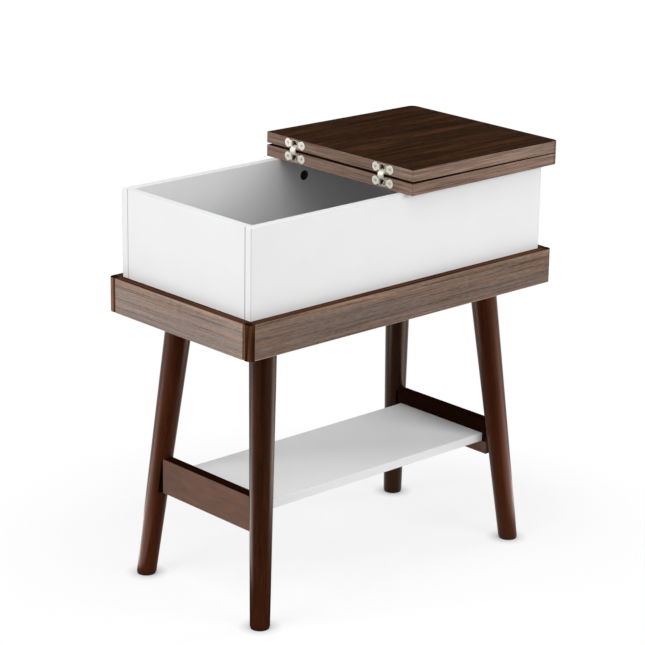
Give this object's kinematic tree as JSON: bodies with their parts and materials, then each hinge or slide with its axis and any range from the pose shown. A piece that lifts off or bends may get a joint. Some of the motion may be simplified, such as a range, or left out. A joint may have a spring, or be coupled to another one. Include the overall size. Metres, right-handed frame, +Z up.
{
  "type": "end table",
  "caption": "Narrow end table with splayed round legs, a low shelf, and a storage box whose top folds over itself on concealed hinges.",
  "frame": {"origin": "on the floor, under the middle of the table", "axes": "+X along the table from the opening half of the box to the fixed half of the top, +Y from front to back, +Z up"},
  "size_m": [0.5946, 0.305, 0.6207],
  "materials": {
    "walnut_top": "dark walnut laminate, satin",
    "walnut_edge": "walnut edge band, satin",
    "walnut_apron": "walnut veneer, satin",
    "walnut_stretcher": "walnut veneer, satin",
    "walnut_leg": "stained solid wood, satin lacquer",
    "white_panel": "white melamine on fibreboard, matt",
    "hinge_nickel": "nickel-plated die casting, bright",
    "hinge_screw_steel": "plated steel",
    "zinc_steel": "zinc-plated steel",
    "black_lock": "black moulded lock",
    "beech_dowel": "plain beech",
    "foot_plastic": "dark brown moulded glide"
  },
  "bodies": {
    "table": {"apron_back_board": "walnut_apron", "apron_front_board": "walnut_apron", "apron_left_board": "walnut_apron", "apron_right_board": "walnut_apron", "apron_screws": "zinc_steel", "back_hinge_fixed_half": "hinge_nickel", "back_left_leg": "walnut_leg", "back_left_leg_plate": "zinc_steel", "back_right_leg": "walnut_leg", "back_right_leg_plate": "zinc_steel", "base_screws": "zinc_steel", "box_back_panel": "white_panel", "box_base_panel": "white_panel", "box_corner_cam_dowels": "zinc_steel", "box_corner_cam_locks": "black_lock", "box_front_panel": "white_panel", "box_left_panel": "white_panel", "box_right_panel": "white_panel", "fixed_leaf": "walnut_top", "fixed_leaf_edge_band": "walnut_edge", "foot_pads": "foot_plastic", "front_hinge_fixed_half": "hinge_nickel", "front_left_leg": "walnut_leg", "front_left_leg_plate": "zinc_steel", "front_right_leg": "walnut_leg", "front_right_leg_plate": "zinc_steel", "hinge_fixed_pins": "hinge_screw_steel", "hinge_fixed_screws": "hinge_screw_steel", "left_stretcher": "walnut_stretcher", "leg_hanger_bolts": "zinc_steel", "leg_plate_screws": "zinc_steel", "right_stretcher": "walnut_stretcher", "shelf_cam_dowels": "zinc_steel", "shelf_cam_locks": "black_lock", "shelf_panel": "white_panel", "stretcher_dowels": "beech_dowel", "top_cam_dowels": "zinc_steel", "top_cam_locks": "black_lock"},
    "hinge_links": {"front_hinge_link": "hinge_nickel", "back_hinge_link": "hinge_nickel"},
    "folding_leaf": {"flip_leaf": "walnut_top", "flip_leaf_edge_band": "walnut_edge", "front_hinge_flip_half": "hinge_nickel", "back_hinge_flip_half": "hinge_nickel", "hinge_flip_pins": "hinge_screw_steel", "hinge_flip_screws": "hinge_screw_steel"}
  },
  "joints": [
    {"name": "link_swing", "type": "hinge", "parent": "table", "child": "hinge_links", "pos_m": [0.0054, 0, 0.5971], "axis": [0, -1, 0], "range_deg": [0, 90.22]},
    {"name": "leaf_swing", "type": "hinge", "parent": "hinge_links", "child": "folding_leaf", "pos_m": [0.0054, 0, 0.6079], "axis": [0, -1, 0], "range_deg": [0, 90.22]}
  ],
  "couplings": [
    {"joint": "link_swing", "follows": "leaf_swing", "ratio": 1}
  ]
}
